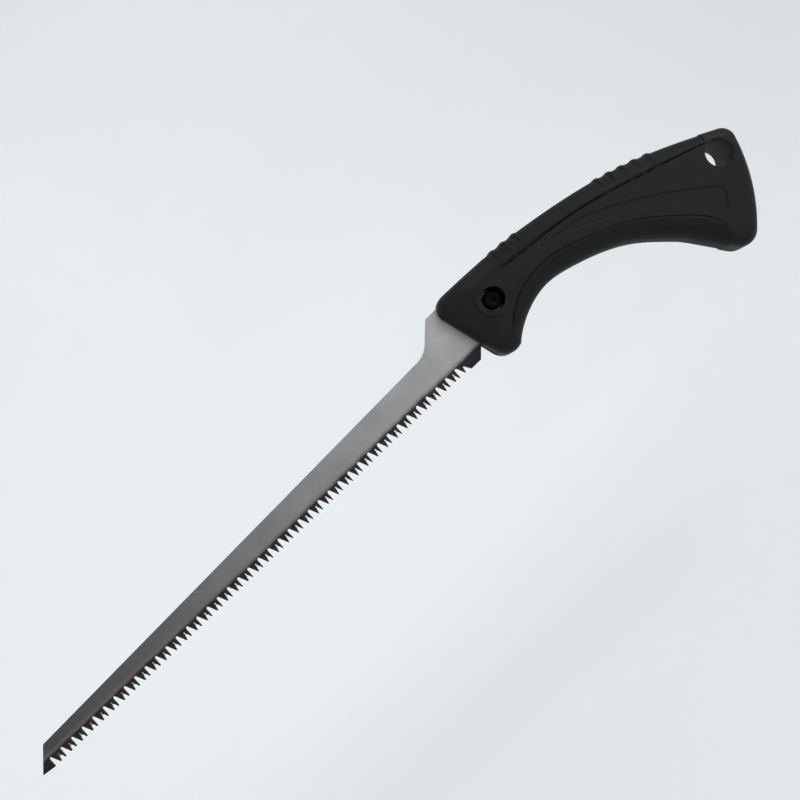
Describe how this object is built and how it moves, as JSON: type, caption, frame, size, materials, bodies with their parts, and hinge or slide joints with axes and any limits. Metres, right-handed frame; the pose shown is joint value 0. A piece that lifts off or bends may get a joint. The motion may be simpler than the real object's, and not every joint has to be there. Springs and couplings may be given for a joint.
{
  "type": "drywall saw",
  "caption": "Jab saw with a tapered toothed steel blade clamped by one recessed screw in a two-tone moulded pistol handle with soft grips and a hang hole.",
  "frame": {"origin": "centre of the hang hole, on the middle plane of the saw", "axes": "+X from the toe of the blade to the butt of the handle, +Y across the saw to the nut's side, +Z from the teeth to the back of the blade"},
  "size_m": [0.4321, 0.024, 0.0868],
  "materials": {
    "blade_steel": "satin rolled steel, tempered to blue and straw along the hardened teeth",
    "handle_shell": "fine spark-eroded texture",
    "soft_grip": "matt thermoplastic rubber",
    "blackened_steel": "black oxide",
    "zinc_steel": "bright zinc plate"
  },
  "bodies": {
    "handle": {"handle_core": "handle_shell", "spine_grip": "soft_grip", "belly_grip": "soft_grip", "blade": "blade_steel", "clamp_nut": "zinc_steel"},
    "washers": {"flat_washer": "zinc_steel", "spring_washer": "blackened_steel"},
    "screw": {"clamp_screw": "blackened_steel"}
  },
  "joints": [
    {"name": "washer_slide", "type": "slide", "parent": "handle", "child": "washers", "axis": [0, -1, 0], "range_m": [0, 0.006]},
    {"name": "screw_turn", "type": "hinge", "parent": "washers", "child": "screw", "pos_m": [-0.1258, 0, 0.0278], "axis": [0, -1, 0], "range_deg": [0, 2700.1]}
  ],
  "couplings": [
    {"joint": "screw_turn", "follows": "washer_slide", "rad_per_m": 7854}
  ]
}
